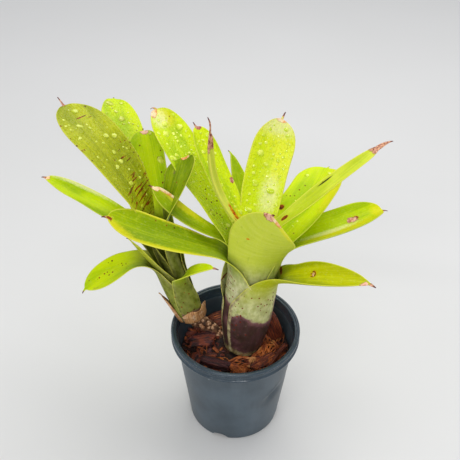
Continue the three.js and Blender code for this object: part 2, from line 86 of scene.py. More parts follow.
# Each leaf from the outermost inwards: az, sheath, lean, arch, length, width, side,
# twist, cup and taper, as in the CAD, and then what is special about it. A mark is
# (kind, how far up the blade, how far across, length, width), with the last two in mm.
GROWTH = ("az", "sheath", "lean", "arch", "length", "width", "side", "twist", "cup", "taper")
USUAL = {
    "wrap": 95, "throat": 0.72, "spine": 5, "hook": 40, "dry_tip": 2.5, "purple": 42, "drops": 0,
    "spots": 0.04, "scurf": "main", "paper": 0.15, "marks": (), "look": "bright", "edge": 1.0,
    "pitch": 2.0, "blunt": 1.2, "scurf_top": -6,
}
MAIN_LEAVES = [
    (-40, 85, 55, 25, 95, 38, 20, 15, 55, 0.9, {
        "purple": 52, "paper": 1.0, "dry_tip": 6, "pitch": 1.4, "look": "golden", "marks": [
            ("scar", 0.46, -0.35, 2.8, 3.4), ("hole", 0.46, -0.35, 1.2, 1.6), ("pink", 0.95, 0.8, 3, 3),
            ("dots", -0.35, 0.8, 32, 5), ("dots", -0.25, -0.3, 30, 9), ("dots", -0.12, 0.1, 12, 20),
            ("scar", 0.04, -0.8, 2, 5)]}),
    (100, 88, 40, 10, 98, 22, 20, 12, 25, 0.7, {
        "look": "deep", "scurf": "milky", "paper": 0.5, "marks": [
            ("bars", -0.1, -0.72, 22, 14), ("dots", -0.3, -0.75, 26, 9)]}),
    (190, 100, 75, -10, 115, 32, -5, -30, 25, 0.1, {
        "purple": 62, "paper": 0.5, "dry_tip": 4, "edge": 1.6, "look": "leafy", "scurf": "milky",
        "pitch": 1.4, "marks": [
            ("yellow", 0.93, -0.8, 16, 6), ("yellow", 0.6, -0.95, 60, 3), ("yellow", 0.5, 0.97, 50, 1.5),
            ("scar", 0.985, -0.2, 2.4, 1.4), ("bars", -0.15, 0.15, 20, 14), ("dots", -0.2, -0.2, 22, 8),
            ("dots", 0.6, 0.8, 24, 4), ("scar", -0.2, 0.85, 8, 1.8)]}),
    (20, 104, 79, -14, 106, 40, -4, 0, 50, 0.1, {
        "dry_tip": 5, "look": "deep", "marks": [
            ("pink", 0.73, -0.15, 5, 3), ("scar", 0.77, -0.2, 2.4, 2), ("pale", 0.5, 0.1, 26, 3),
            ("yellow", 0.97, 0, 8, 12), ("yellow", 0.6, 0.4, 40, 7)]}),
    (-90, 106, 20, 5, 76, 60, 15, -50, 35, 1.0, {
        "look": "soft", "dry_tip": 5, "edge": 1.6, "spots": 0.0, "marks": [
            ("pink", 0.94, 0.6, 4, 8), ("pink", 0.99, 0.0, 3, 7), ("peach", 0.94, -0.85, 6, 2.6),
            ("yellow", 0.78, -0.97, 13, 3), ("flame", 0.44, 0.4, 1.2, 0.8)]}),
    (172, 108, 76, -25, 90, 16, -14, -40, 30, 0.1, {
        "look": "leafy", "dry_tip": 4, "marks": [
            ("peach", 0.9, 0.9, 13, 1.9), ("peach", 0.98, 0.3, 3, 2.4), ("yellow", 0.7, 0.7, 26, 3)]}),
    (142, 106, 55, 0, 148, 38, -10, -5, 25, 0.0, {
        "throat": 0.9, "spine": 9, "hook": 80, "drops": 80, "dry_tip": 7, "marks": [
            ("pale", 0.92, -0.3, 9, 8), ("peach", 0.97, -0.7, 5, 4), ("yellow", 0.93, 0.2, 12, 9),
            ("dots", 0.28, -0.2, 22, 7)]}),
    (40, 108, 60, 10, 102, 46, 24, -10, 15, 0.0, {
        "drops": 6, "marks": [
            ("scar", 0.39, -0.7, 3.4, 2.6), ("scar", 0.32, -0.27, 4.2, 2.2), ("yellow", 0.75, 0.85, 28, 6),
            ("dots", 0.55, -0.4, 14, 9)]}),
    (90, 114, 38, -18, 108, 38, -30, 30, 20, 0.0, {
        "spine": 7, "drops": 60, "edge": 1.8, "dry_tip": 5, "look": "light", "marks": [
            ("pale", 0.37, 0.36, 18, 8), ("pale", 0.95, 0.0, 10, 18), ("peach", 0.99, 0, 1.6, 5)]}),
    (140, 116, 46, -4, 108, 26, -8, 0, 24, 0.0, {
        "drops": 34, "dry_tip": 5, "marks": [
            ("pink", 0.49, 0.85, 2.8, 1.9), ("yellow", 0.2, 0.2, 16, 2), ("pink", 0.985, 0.2, 2, 3)]}),
    (22, 122, 52, 8, 128, 18, 10, 10, 48, 0.6, {
        "throat": 0.45, "spine": 14, "dry_tip": 21, "blunt": 2.2, "look": "soft", "marks": [
            ("groove", 0.55, -0.72, 10, 0.7), ("scar", 0.18, -0.25, 3.4, 1.8)]}),
    (175, 118, 46, -52, 110, 14, -8, 0, 60, 0.1, {
        "spine": 12, "dry_tip": 25, "blunt": 2.4, "look": "pale", "edge": 2.0, "marks": [
            ("flame", 0.24, 0.9, 13, 2.4), ("flame", 0.16, 0.2, 9, 1.4)]}),
]
OFFSET_LEAVES = [
    (-50, 6, 20, 0, 6, 30, 0, 0, 60, 0.5, {
        "node": "offset_husk", "spine": 1, "wrap": 75, "look": "paper", "dry_tip": 0}),
    (200, 8, 8, 6, 30, 10, 0, 0, 50, 1.0, {
        "node": "offset_bract", "spine": 1, "wrap": 35, "look": "paper", "dry_tip": 0}),
    (-70, 42, 40, 45, 72, 17, 50, 10, 36, 0.4, {
        "wrap": 45, "look": "deep", "dry_tip": 5, "marks": [("dots", -0.4, 0.1, 20, 9)]}),
    (186, 66, 90, 18, 68, 32, 10, -32, 25, 0.6, {
        "throat": 0.45, "dry_tip": 3, "marks": [("dots", -0.4, 0.6, 26, 9), ("dots", 0.6, 0.0, 20, 9)]}),
    (212, 60, 22, -10, 44, 23, -3, 0, 27, 0.8, {"look": "olive"}),
    (150, 84, 54, 8, 120, 22, 2, -14, 33, 0.5, {
        "dry_tip": 6, "look": "middle", "marks": [("peach", 0.99, 0, 4, 3), ("pale", 0.7, 0.9, 30, 2.4)]}),
    (104, 84, 40, 18, 150, 37, -3, 26, 20, 0.0, {
        "drops": 50, "dry_tip": 3, "spine": 3, "marks": [("dots", 0.5, 0.8, 22, 5)]}),
    (86, 90, 32, 22, 97, 33, 6, 6, 23, 0.0, {
        "drops": 4, "dry_tip": 4, "look": "middle", "marks": [
            ("pink", 0.975, 0.25, 2.4, 4), ("dots", 0.88, -0.4, 9, 9), ("dots", 0.4, 0.8, 30, 4)]}),
    (5, 96, 30, 35, 70, 40, 60, -15, 25, 0.0, {
        "dry_tip": 3, "look": "shaded", "marks": [
            ("peach", 0.985, -0.2, 2.4, 5), ("dots", 0.4, 0.3, 22, 9)]}),
    (176, 88, -10, 76, 150, 50, -45, 10, 18, 0.15, {
        "throat": 0.5, "spine": 9, "hook": -50, "drops": 36, "look": "olive", "dry_tip": 9,
        "pitch": 1.4, "marks": [
            ("bars", 0.26, 0.1, 24, 22), ("bars", 0.55, 0.4, 6, 9), ("bars", 0.85, 0.2, 5, 6),
            ("dots", 0.4, 0.9, 75, 3), ("dots", 0.75, -0.93, 30, 1.6), ("dots", 0.15, 0.0, 22, 9)]}),
]
for offset_leaf in OFFSET_LEAVES:
    offset_leaf[-1].update(scurf="offset", purple=10, scurf_top=14)


# ---- small helpers ----
def tint(code, alpha=1.0):
    """Linear colour of a six-digit sRGB code."""
    channels = [int(code[i:i + 2], 16) / 255 for i in (0, 2, 4)]
    linear = [c / 12.92 if c <= 0.04045 else ((c + 0.055) / 1.055) ** 2.4 for c in channels]
    return (*linear, alpha)


def smooth(x, low=0.0, high=1.0):
    """Smooth step of x from 0 at low to 1 at high."""
    t = np.clip((np.asarray(x, float) - low) / (high - low), 0, 1)
    return t * t * (3 - 2 * t)


def blend(a, b, t):
    """Value that goes from a to b as t goes from 0 to 1."""
    return a + (b - a) * t


def ripple(seed, *coordinates, waves=7, finest=1.0):
    """Smooth bounded noise: a few seeded sine waves over the coordinates, within about -1 and 1."""
    rng = np.random.default_rng(seed)
    total = 0.0
    for wave in range(waves):
        pitch = finest * (0.35 + 0.65 * (wave + 1) / waves)
        turn = rng.normal(0, 1, len(coordinates))
        turn = turn / np.linalg.norm(turn) * pitch
        phase = rng.uniform(0, 2 * math.pi)
        total = total + np.sin(sum(c * k for c, k in zip(coordinates, turn)) + phase)
    return total / waves * 1.6


def rough(seed, points, size, octaves=3):
    """Uneven height over points in space, with lumps of about the given size."""
    total = np.zeros(len(points))
    for octave in range(octaves):
        finest = 2 * math.pi / size * 2 ** octave
        total += ripple(seed + octave, *points.T, waves=6, finest=finest) / 1.8 ** octave
    return total


def make_object(name, points, faces, material, smooth_faces=True):
    """Mesh object from points in millimetres."""
    mesh = bpy.data.meshes.new(name)
    corners = [tuple(point) for point in np.asarray(points) * MM]
    mesh.from_pydata(corners, [], [tuple(int(i) for i in face) for face in faces])
    mesh.polygons.foreach_set("use_smooth", [smooth_faces] * len(mesh.polygons))
    mesh.materials.append(material)
    piece = bpy.data.objects.new(name, mesh)
    bpy.context.scene.collection.objects.link(piece)
    return piece


def give(piece, name, vectors):
    """Stores a vector per point, which the piece's material reads by name."""
    layer = piece.data.attributes.new(name, "FLOAT_VECTOR", "POINT")
    layer.data.foreach_set("vector", np.asarray(vectors, dtype=np.float32).ravel())


def joined(parts):
    """One set of points and faces from several."""
    points, faces, start = [], [], 0
    for part_points, part_faces in parts:
        points.extend(part_points)
        faces.extend([[i + start for i in face] for face in part_faces])
        start += len(part_points)
    return np.array(points), faces


# ---- material graphs ----
class Graph:
    """A material whose nodes are added by short calls. Each call returns an output socket."""

    def __init__(self, name):
        self.material = bpy.data.materials.new(name)
        self.material.use_nodes = True
        self.tree = self.material.node_tree
        self.tree.nodes.clear()
        self.shader = self.add("BsdfPrincipled")
        self.feed(self.add("OutputMaterial").inputs["Surface"], self.shader.outputs["BSDF"])

    def add(self, kind, **settings):
        node = self.tree.nodes.new("ShaderNode" + kind)
        for key, value in settings.items():
            setattr(node, key, value)
        return node

    def feed(self, socket, value):
        if isinstance(value, bpy.types.NodeSocket):
            self.tree.links.new(value, socket)
        else:
            socket.default_value = value

    def attribute(self, name):
        return self.add("Attribute", attribute_name=name).outputs["Vector"]

    def place(self):
        return self.add("TexCoord").outputs["Object"]

    def split(self, vector):
        node = self.add("SeparateXYZ")
        self.feed(node.inputs[0], vector)
        return node.outputs[0], node.outputs[1], node.outputs[2]

    def stretch(self, vector, factors):
        node = self.add("VectorMath", operation="MULTIPLY")
        self.feed(node.inputs[0], vector)
        node.inputs[1].default_value = factors
        return node.outputs[0]

    def math(self, operation, a, b=0.0):
        node = self.add("Math", operation=operation)
        self.feed(node.inputs[0], a)
        self.feed(node.inputs[1], b)
        return node.outputs[0]

    def ramp(self, value, low, high):
        """0 below low and 1 above high, or the other way round if low is the larger."""
        node = self.add("MapRange", interpolation_type="SMOOTHSTEP")
        self.feed(node.inputs["Value"], value)
        node.inputs["From Min"].default_value = low
        node.inputs["From Max"].default_value = high
        return node.outputs["Result"]

    def noise(self, vector, scale, detail=2.0, roughness=0.5):
        node = self.add("TexNoise")
        self.feed(node.inputs["Vector"], vector)
        node.inputs["Scale"].default_value = scale
        node.inputs["Detail"].default_value = detail
        node.inputs["Roughness"].default_value = roughness
        return node.outputs["Fac"]

    def cells(self, vector, scale):
        """Distance to the middle of a scattered cell, and a number that is the cell's own."""
        node = self.add("TexVoronoi")
        self.feed(node.inputs["Vector"], vector)
        node.inputs["Scale"].default_value = scale
        return node.outputs["Distance"], self.split(node.outputs["Color"])[0]

    def mix(self, factor, a, b):
        node = self.add("Mix", data_type="RGBA")
        self.feed(node.inputs[0], factor)
        self.feed(node.inputs[6], a)
        self.feed(node.inputs[7], b)
        return node.outputs[2]

    def plus(self, a, b):
        return self.math("ADD", a, b)

    def minus(self, a, b):
        return self.math("SUBTRACT", a, b)

    def times(self, a, b):
        return self.math("MULTIPLY", a, b)

    def most(self, a, b):
        return self.math("MAXIMUM", a, b)

    def tones(self, field, low, high, first, second):
        """One colour where a field is low and another where it is high."""
        return self.mix(self.ramp(field, low, high), tint(first), tint(second))

    def patch(self, colour, field, limits, share, code):
        """Another colour laid over the first by a share, where a field passes from one limit to the other."""
        return self.mix(self.times(self.ramp(field, *limits), share), colour, tint(code))

    def finish(self, colour, roughness, height=None, depth=0.0005, strength=1.0, **constants):
        self.feed(self.shader.inputs["Base Color"], colour)
        self.feed(self.shader.inputs["Roughness"], roughness)
        if height is not None:
            bump = self.add("Bump")
            bump.inputs["Strength"].default_value = strength
            bump.inputs["Distance"].default_value = depth
            self.feed(bump.inputs["Height"], height)
            self.feed(self.shader.inputs["Normal"], bump.outputs["Normal"])
        for name, value in constants.items():
            self.shader.inputs[name.replace("_", " ")].default_value = value
        return self.material


# ---- leaves ----
LOOKS = {  # bright and deep green of the upper face, and the lower face
    "bright": ("D2E600", "A9C800", "BCCB20"),
    "light": ("EAF22A", "D0E400", "D4DE3A"),
    "soft": ("D4DE42", "B6C628", "C4CE44"),
    "pale": ("DADF58", "BAC630", "CDD250"),
    "golden": ("B4B800", "929C00", "A8B014"),
    "middle": ("C0D800", "98B800", "AAC010"),
    "deep": ("B6CE00", "8FAE00", "A2B81A"),
    "shaded": ("849E00", "5E7C00", "7A9006"),
    "leafy": ("9CB400", "7A9600", "8A9C10"),
    "olive": ("AEB40E", "8E9806", "A0A81C"),
}
SCURF = {  # the waxy scales on a sheath, from dull to pale
    "main": ("A9AC6C", "D2D29C"),
    "offset": ("565A1C", "80863A"), "milky": ("B8B87E", "E0DCB0"),
}


def edged(g, field, uneven, raggedness):
    """How far a dead patch covers the leaf, and the dark line round it."""
    value = g.plus(field, g.times(uneven, raggedness))
    return g.ramp(value, 0.4, 0.5), g.times(g.ramp(value, 0.3, 0.42), g.ramp(value, 0.6, 0.47))


def leaf_material(name, leaf):
    bright, deep, below = (tint(code) for code in LOOKS[leaf["look"]])
    wet = leaf["drops"] >= WET_LEAF_DROPS
    g = Graph(name)
    grain = g.attribute("grain")
    along = g.split(grain)[1]
    rim, tip, under = g.split(g.attribute("where"))
    dry, scar, purple = g.split(g.attribute("zone"))
    sheath, pale, yellow = g.split(g.attribute("part"))
    bars, spots, pink = g.split(g.attribute("tone"))
    peach, flame, groove = g.split(g.attribute("warm"))
    broad = g.noise(g.stretch(grain, (0.06, 0.016, 1)), 1, 3)
    veins = g.noise(g.stretch(grain, (0.9, 0.012, 1)), 1, 3)
    mottle = g.noise(g.stretch(grain, (0.22, 0.16, 1)), 1, 5, 0.62)
    bands = g.noise(g.stretch(grain, (0.03, 0.32, 1)), 1, 4)
    ragged = g.noise(g.stretch(grain, (0.55, 0.4, 1)), 1, 5, 0.7)
    uneven = g.minus(ragged, 0.5)

    colour = g.mix(g.ramp(broad, 0.36, 0.62), deep, bright)
    colour = g.patch(colour, veins, (0.45, 0.72), 0.2, "E8EE20")
    colour = g.patch(colour, veins, (0.48, 0.25), 0.22, "7C9600")
    banded = g.mix(g.times(g.ramp(bands, 0.45, 0.66), 0.3), below, tint("D6DA6A"))
    banded = g.patch(banded, bands, (0.45, 0.3), 0.14, "8E9C20")
    colour = g.mix(g.times(under, 0.8), colour, banded)
    colour = g.patch(colour, mottle, (0.5, 0.72), 0.22, "D8DE3A")
    colour = g.patch(colour, mottle, (0.42, 0.28), 0.25, "7E9A00")
    colour = g.patch(colour, g.plus(yellow, uneven), (0.1, 1.0), 0.6, "EADC12")
    colour = g.patch(colour, g.plus(pale, g.times(uneven, 1.6)), (0.0, 1.1), 0.7, "F0F0A8")

    # the sheath: pale and scurfy, with a papery margin, and purple towards the foot
    dull, light = (tint(code) for code in SCURF[leaf["scurf"]])
    scurf = g.mix(g.ramp(mottle, 0.32, 0.64), dull, light)
    scurf = g.patch(scurf, broad, (0.5, 0.62), 0.35, "8A8458")
    colour = g.mix(g.times(sheath, 0.88), colour, scurf)
    streaks = g.noise(g.stretch(grain, (0.14, 0.05, 1)), 1, 4)
    patchy = g.minus(g.noise(g.stretch(grain, (0.045, 0.035, 1)), 1, 5, 0.6), 0.5)
    depth = g.plus(purple, g.times(patchy, 2.2))
    maroon = g.tones(streaks, 0.3, 0.7, "300F1A", "4A2030")
    maroon = g.mix(g.ramp(depth, 0.95, 0.5), maroon, tint("7C4C56"))
    maroon = g.patch(maroon, mottle, (0.58, 0.76), 0.3, "94686C")
    colour = g.mix(g.times(g.ramp(depth, 0.38, 0.62), 0.95), colour, maroon)
    foot = g.ramp(g.plus(along, g.times(uneven, 14)), 9, 3)
    soiled = g.tones(mottle, 0.38, 0.62, "7E7040", "C4B27A")
    colour = g.mix(g.times(foot, 0.8), colour, soiled)
    papery = g.times(sheath, g.ramp(g.plus(rim, g.times(ragged, 4)), 6.6, 4.2))
    paper = g.tones(mottle, 0.36, 0.64, "86745A", "D2C690")
    colour = g.mix(g.times(papery, leaf["paper"]), colour, paper)

    # a pale line along the blade's margin
    line = g.times(g.ramp(rim, leaf["edge"], 0.2 * leaf["edge"]), g.minus(1.0, purple))
    colour = g.mix(g.times(line, 0.5), colour, tint("E8E45C"))

    # dark red bars across the leaf, scattered spots, scars and the fold's dark groove
    dashes = g.noise(g.stretch(grain, (0.06, 0.5, 1)), 1, 2, 0.4)
    barred = g.ramp(bars, 0.0, 0.5)
    bar = g.times(barred, g.ramp(g.plus(dashes, g.times(barred, 0.14)), 0.73, 0.745))
    distance, own = g.cells(g.stretch(grain, (0.3, 0.3, 1)), 1)
    dot = g.times(g.ramp(distance, 0.29, 0.2), g.ramp(g.minus(spots, own), 0.0, 0.02))
    blemish = g.ramp(g.plus(scar, g.times(uneven, 0.9)), 0.42, 0.52)
    dark = g.most(g.most(bar, dot), blemish)
    halo = g.ramp(g.plus(scar, g.times(uneven, 0.9)), 0.2, 0.42)
    colour = g.mix(g.times(halo, 0.6), colour, tint("C88A18"))
    red = g.tones(mottle, 0.35, 0.65, "4A100A", "96300C")
    colour = g.mix(g.times(dark, 0.92), colour, red)
    colour = g.mix(g.ramp(groove, 0.4, 0.8), colour, tint("3C3A10"))

    # dead patches: pink, peach or orange where they are fresh, brown where they are furthest gone
    pinked, pink_edge = edged(g, pink, uneven, 1.8)
    colour = g.mix(pinked, colour, g.tones(mottle, 0.38, 0.6, "B05E50", "F0C0A2"))
    colour = g.mix(g.times(pink_edge, 0.55), colour, tint("7A2C22"))
    peached, peach_edge = edged(g, peach, uneven, 1.2)
    colour = g.mix(peached, colour, g.tones(mottle, 0.36, 0.6, "EC9C50", "FCE2B2"))
    colour = g.mix(g.times(peach_edge, 0.5), colour, tint("A85018"))
    flamed = g.ramp(g.plus(flame, g.times(uneven, 1.4)), 0.4, 0.6)
    colour = g.mix(flamed, colour, g.tones(ragged, 0.4, 0.6, "A83010", "E8A814"))
    gone, gone_edge = edged(g, dry, uneven, 1.4)
    withered = g.tones(ragged, 0.36, 0.6, "7C3034", "E4AE8A")
    withered = g.mix(g.ramp(tip, 5, 1), withered, tint("5A2024"))
    colour = g.mix(gone, colour, withered)
    colour = g.mix(g.times(gone_edge, 0.4), colour, tint("8A4A1C"))

    film = g.ramp(g.noise(g.stretch(grain, (0.5, 0.34, 1)), 1, 2), 0.5, 0.6)
    matte = g.most(gone, g.most(g.times(sheath, 0.7), g.times(under, 0.7)))
    roughness = g.plus(g.times(mottle, 0.16), g.times(matte, 0.28))
    roughness = g.plus(roughness, g.minus(0.28, g.times(film, 0.16 if wet else 0.04)))
    roughness = g.minus(roughness, g.times(purple, 0.16))
    height = g.plus(g.times(veins, 0.9), g.plus(g.times(mottle, 0.5), g.times(gone, 0.8)))
    height = g.plus(height, g.times(film, 1.6 if wet else 0.0))
    return g.finish(colour, roughness, height, 0.0004, 0.6, Subsurface_Weight=0.1, Subsurface_Scale=0.003,
                    Subsurface_Radius=(0.6, 1.0, 0.05), IOR=1.4, Specular_IOR_Level=0.26 if wet else 0.12)


def paper_material(name):
    g = Graph(name)
    grain = g.attribute("grain")
    fibre = g.noise(g.stretch(grain, (1.3, 0.05, 1)), 1, 4, 0.6)
    mottle = g.noise(g.stretch(grain, (0.25, 0.2, 1)), 1, 4)
    colour = g.tones(fibre, 0.3, 0.7, "8E5428", "DDAA70")
    colour = g.patch(colour, mottle, (0.5, 0.7), 0.7, "E6C9A4")
    colour = g.patch(colour, mottle, (0.42, 0.28), 0.8, "5F3B28")
    return g.finish(colour, g.plus(g.times(mottle, 0.2), 0.6), fibre, 0.0006, 0.8)


def rosette_axes(rosette):
    """Up the middle of a leaning rosette, and two axes across it."""
    slope = [math.tan(math.radians(angle)) for angle in rosette["tilt"]]
    up = np.array([*slope, 1.0])
    up /= np.linalg.norm(up)
    right = np.array([1.0, 0.0, 0.0]) - up[0] * up
    right /= np.linalg.norm(right)
    return up, right, np.cross(up, right)


def blade_profile(leaf, u):
    """Half width over its greatest, from the throat at 0 to the tip at 1."""
    body = leaf["throat"] + (1 - leaf["throat"]) * np.sin(np.minimum(u / 0.5, 1) * math.pi / 2)
    strap = np.sqrt(np.maximum(0, 1 - (np.clip(u - 0.74, 0, 1) / 0.26) ** 2.2))
    lance = np.maximum(0, 1 - np.clip((u - 0.35) / 0.65, 0, 1) ** 1.9)
    return body * blend(strap, lance, leaf["taper"])


def growth(rosette, leaf, layer):
    """The leaf at every step from the foot up.

    Gives the steps, the midrib, the two axes across it, the half width, the curl, and how
    far the sheath has opened.
    """
    up, right, back = rosette_axes(rosette)
    radius = rosette["outer"] - SHEATH_STEP * layer
    sheath, length = leaf["sheath"], leaf["length"]
    s = np.arange(0, sheath + length + leaf["spine"] + GROWTH_STEP, GROWTH_STEP)
    u = (s - sheath) / length
    blade = np.clip(u, 0, 1)
    swelling = np.where(s < SHEATH_SWELL, np.cos(s / SHEATH_SWELL * math.pi / 2), 0)
    foot_slope = radius * (1 - SHEATH_FOOT) * math.pi / 2 / SHEATH_SWELL * swelling
    bend = smooth(s - sheath + FLARE * 0.35, 0, FLARE)
    tip = np.clip((u - 0.93) / (0.07 + leaf["spine"] / length), 0, 1)
    lean = np.arctan(foot_slope) * (1 - bend) + math.radians(leaf["lean"]) * bend
    lean = lean + math.radians(leaf["arch"]) * np.clip(u, 0, 1.2) ** 1.4
    lean = lean + math.radians(leaf["hook"]) * tip ** 1.5
    heading = np.radians(leaf["az"] + leaf["side"] * smooth(u))
    away = np.cos(heading)[:, None] * right + np.sin(heading)[:, None] * back
    along = np.sin(lean)[:, None] * away + np.cos(lean)[:, None] * up
    level = -np.cos(lean)[:, None] * away + np.sin(lean)[:, None] * up
    turn = np.radians(leaf["twist"]) * smooth(u)
    face = np.cos(turn)[:, None] * level + np.sin(turn)[:, None] * np.cross(along, level)
    sideways = np.cross(along, face)
    start = np.array(rosette["foot"]) + away[0] * radius * SHEATH_FOOT
    middle = start + np.vstack([np.zeros(3), np.cumsum(along[:-1] * GROWTH_STEP, axis=0)])
    swell = np.sin(np.minimum(s / SHEATH_SWELL, 1) * math.pi / 2)
    girth = math.radians(leaf["wrap"]) * radius * blend(SHEATH_FOOT, 1, swell)
    opened = smooth(s - sheath, -26, 26)
    flat = smooth(s - sheath, -34, 14)
    tip_half = blend(leaf["blunt"], 0.35, np.clip((s - sheath - length) / leaf["spine"], 0, 1))
    half = blend(girth, np.maximum(leaf["width"] / 2 * blade_profile(leaf, blade), tip_half), opened)
    curl = np.radians(blend(leaf["wrap"], leaf["cup"], flat)) * np.clip(half / 6, 0.05, 1)
    return s, middle, sideways, face, half, curl, opened


TIP_PITCH = 0.8


def leaf_rows(leaf):
    """Distances up the leaf at which it has points, closer together towards the tip."""
    end = leaf["sheath"] + leaf["length"] + leaf["spine"]
    near = leaf["sheath"] + 0.86 * leaf["length"]
    count = int(near / leaf["pitch"])
    tip_rows = np.linspace(near, end, int((end - near) / TIP_PITCH))
    return np.concatenate([np.linspace(0, near, count, endpoint=False), tip_rows])


MARK_KINDS = ("dry", "scar", "pale", "yellow", "pink", "peach", "flame", "bars", "dots", "hole", "groove")


def mark_value(mark, s, across, half, leaf):
    """How strongly a mark shows at each point: 1 inside it, falling to 0 round it."""
    _, up_blade, over, length, width = mark
    du = (s - leaf["sheath"] - up_blade * leaf["length"]) / length
    dv = (across - over * half) / width
    return np.clip(1.45 - np.hypot(du, dv), 0, 1)


def build_leaf(rosette, leaf, layer, name):
    """The leaf as one closed mesh. Returns its piece and the middle surface, for what lies on it."""
    columns = 25 if leaf["width"] > 14 else 15
    s, middle, sideways, face, half, curl, opened = growth(rosette, leaf, layer)
    rows = leaf_rows(leaf)
    along_rows = lambda values: np.stack([np.interp(rows, s, v) for v in values.T], 1)
    middle, sideways, face = along_rows(middle), along_rows(sideways), along_rows(face)
    half, curl, opened = (np.interp(rows, s, v)[:, None] for v in (half, curl, opened))
    even = np.linspace(-1, 1, columns)
    t = (0.65 * even + 0.35 * np.sin(even * math.pi / 2))[None, :]
    up_leaf = rows[:, None] + 0 * t
    across = half * t
    end = rows[-1]
    to_tip = end - up_leaf
    rim = half * (1 - np.abs(t))

    zones = {kind: np.zeros_like(across) for kind in MARK_KINDS}
    for mark in leaf["marks"]:
        zones[mark[0]] = np.maximum(zones[mark[0]], mark_value(mark, up_leaf, across, half, leaf))
    if leaf["dry_tip"]:
        withered = smooth(leaf["dry_tip"] - to_tip, -0.35 * leaf["dry_tip"], 2.5)
        zones["dry"] = np.maximum(zones["dry"], withered)
    seed = 100 * layer + (7 if rosette is MAIN else 57)
    bow = half / curl
    angle = curl * t
    free = opened * smooth(to_tip, 0, 12)
    wave = 0.55 * free * ripple(seed, up_leaf / 9, across / 7, finest=1.0)
    wave = wave + 0.8 * free * np.abs(t) ** 3 * ripple(seed + 1, up_leaf / 6, np.sign(t) * 3, finest=1.0)
    wave = wave + 0.9 * zones["dry"] * ripple(seed + 2, up_leaf / 1.6, across / 1.4, finest=1.0)
    wave = wave - 0.5 * zones["groove"]
    points = middle[:, None, :] + sideways[:, None, :] * (np.sin(angle) * bow)[..., None]
    points = points + face[:, None, :] * ((1 - np.cos(angle)) * bow)[..., None]
    normal = face[:, None, :] * np.cos(angle)[..., None] - sideways[:, None, :] * np.sin(angle)[..., None]
    points = points + normal * wave[..., None]
    thick = blend(SHEATH_THICKNESS, BLADE_THICKNESS, opened) / 2 * np.sqrt(1 - 0.82 * t ** 4)
    thick = thick * blend(0.55, 1.0, smooth(to_tip, 0, 10)) * (1 - 0.35 * zones["dry"])
    upper = points + normal * thick[..., None]
    lower = points - normal * thick[..., None]

    ring = 2 * columns
    loops = np.concatenate([upper, lower[:, ::-1]], axis=1)
    faces = []
    for i in range(len(rows) - 1):
        for j in range(ring):
            k = (j + 1) % ring
            faces.append((i * ring + j, i * ring + k, (i + 1) * ring + k, (i + 1) * ring + j))
    for i, flip in ((0, 1), (len(rows) - 1, -1)):
        for j in range(columns - 1):
            quad = [i * ring + j, i * ring + ring - 1 - j, i * ring + ring - 2 - j, i * ring + j + 1]
            faces.append(tuple(quad[::flip]))
    skin = name + "_skin"
    material = paper_material(skin) if leaf["look"] == "paper" else leaf_material(skin, leaf)
    piece = make_object(name + "_look", loops.reshape(-1, 3), faces, material)

    both = lambda values: np.concatenate([values, values[:, ::-1]], axis=1)
    layers = lambda *values: np.stack([both(v + 0 * across) for v in values], axis=-1).reshape(-1, 3)
    is_under = np.concatenate([np.zeros_like(across), np.ones_like(across)], axis=1)
    in_sheath = 1 - smooth(up_leaf - leaf["sheath"] - leaf["scurf_top"], -16, 16)
    purple = smooth(leaf["purple"] - up_leaf, -18, 18) if leaf["purple"] else np.zeros_like(across)
    where = layers(rim, to_tip, rim)
    where[:, 2] = is_under.reshape(-1)
    give(piece, "grain", layers(across, up_leaf, np.full_like(across, seed * 1.7)))
    give(piece, "where", where)
    dead, scarred = np.maximum(zones["dry"], zones["hole"]), zones["scar"] - 2 * zones["hole"]
    give(piece, "zone", layers(dead, scarred, purple))
    give(piece, "part", layers(in_sheath, zones["pale"], zones["yellow"]))
    spots = np.maximum(leaf["spots"] * (0.35 + 0.65 * in_sheath), 0.6 * zones["dots"])
    give(piece, "tone", layers(zones["bars"], spots, zones["pink"]))
    give(piece, "warm", layers(zones["peach"], zones["flame"], zones["groove"]))
    return piece, (points + normal * thick[..., None], normal, t[0], half[:, 0], rows)


# ---- dew ----
def water_material(name, painted_lit, painted_shade):
    """Water that takes the colour of the leaf under it, as painted light seen through the drop, and is
    painted paler in swirls as a painted highlight.
    """
    g = Graph(name)
    swirl = g.noise(g.place(), 300, 2)
    # painted light: the leaf's green seen through the water, paler in swirls as painted highlight
    colour = g.mix(g.ramp(swirl, 0.36, 0.64), tint(painted_shade), tint(painted_lit))
    return g.finish(colour, g.plus(g.times(swirl, 0.05), 0.02), swirl, 0.0002, 0.2, IOR=1.333,
                    Specular_IOR_Level=0.8)


def drop_body(centre, normal, reach, flatness, stretch, seed):
    """A low closed dome of water that stands on a leaf and dips a little into it."""
    normal = normal / np.linalg.norm(normal)
    side = np.cross(normal, (0.3, 0.2, 1.0))
    side /= np.linalg.norm(side)
    other = np.cross(normal, side)
    sides, levels = 14, (0.0, 0.3, 0.58, 0.8, 0.95)
    points = [centre - normal * 0.25 * reach]
    for level in levels:
        radius = reach * math.cos(level * math.pi / 2) ** 0.8
        height = reach * flatness * math.sin(level * math.pi / 2) - (0.12 * reach if level == 0 else 0)
        for i in range(sides):
            angle = 2 * math.pi * i / sides
            bulge = 1 + 0.1 * math.sin(2 * angle + seed) + 0.06 * math.sin(3 * angle + 2 * seed)
            points.append(centre + normal * height + side * math.cos(angle) * radius * bulge * stretch
                          + other * math.sin(angle) * radius * bulge)
    points.append(centre + normal * reach * flatness)
    faces = [(0, 1 + (i + 1) % sides, 1 + i) for i in range(sides)]
    for level in range(len(levels) - 1):
        for i in range(sides):
            a, b = 1 + level * sides + i, 1 + level * sides + (i + 1) % sides
            faces.append((a, b, b + sides, a + sides))
    last, top = 1 + (len(levels) - 1) * sides, len(points) - 1
    faces.extend((last + i, last + (i + 1) % sides, top) for i in range(sides))
    return np.array(points), faces


